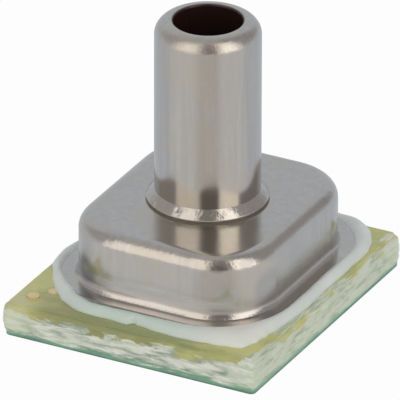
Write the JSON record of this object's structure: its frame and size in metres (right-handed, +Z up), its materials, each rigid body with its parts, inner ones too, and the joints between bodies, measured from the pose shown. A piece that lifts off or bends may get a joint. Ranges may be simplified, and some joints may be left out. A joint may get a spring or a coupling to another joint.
{
  "type": "board-mount pressure sensor",
  "caption": "Miniature pressure sensor: a drawn metal cap with an upright port tube, glued to a small glass-fibre board with solder pads underneath.",
  "frame": {"origin": "middle of the board's underside", "axes": "+Z up along the port tube, +Y along the longer way of the board, +X across it; the marked first contact is at -X, -Y"},
  "size_m": [0.0064, 0.0072, 0.0069],
  "materials": {
    "laminate": "sawn glass-fibre laminate, pale green-white",
    "top_resist": "olive yellow-green resist film, glossy",
    "bottom_resist": "green resist film",
    "contact_plating": "gold-plated copper",
    "cap_metal": "satin drawn sheet, faint vertical streaks",
    "tube_metal": "satin turned tube, faint vertical streaks",
    "adhesive": "white silicone adhesive",
    "die_attach": "cured die adhesive",
    "die_glass": "borosilicate glass",
    "silicon": "passivated silicon",
    "capacitor_ceramic": "fired ceramic, tan",
    "capacitor_plating": "tin-plated",
    "bond_wire": "gold wire"
  },
  "bodies": {
    "root": {"board_laminate": "laminate", "top_resist": "top_resist", "bottom_resist": "bottom_resist", "cap": "cap_metal", "port_tube": "tube_metal", "adhesive_bead": "adhesive", "die_attach": "die_attach", "die_glass": "die_glass", "sensing_die": "silicon", "signal_die_attach": "die_attach", "signal_die": "silicon", "capacitor_body": "capacitor_ceramic", "contact_1": "contact_plating", "contact_2": "contact_plating", "contact_3": "contact_plating", "contact_4": "contact_plating", "contact_5": "contact_plating", "contact_6": "contact_plating", "capacitor_end_1": "capacitor_plating", "capacitor_end_2": "capacitor_plating", "die_wire_1": "bond_wire", "die_wire_2": "bond_wire", "die_wire_3": "bond_wire", "die_wire_4": "bond_wire", "contact_wire_1": "bond_wire", "contact_wire_2": "bond_wire", "contact_wire_3": "bond_wire", "contact_wire_4": "bond_wire", "contact_wire_5": "bond_wire", "contact_wire_6": "bond_wire"}
  },
  "joints": []
}
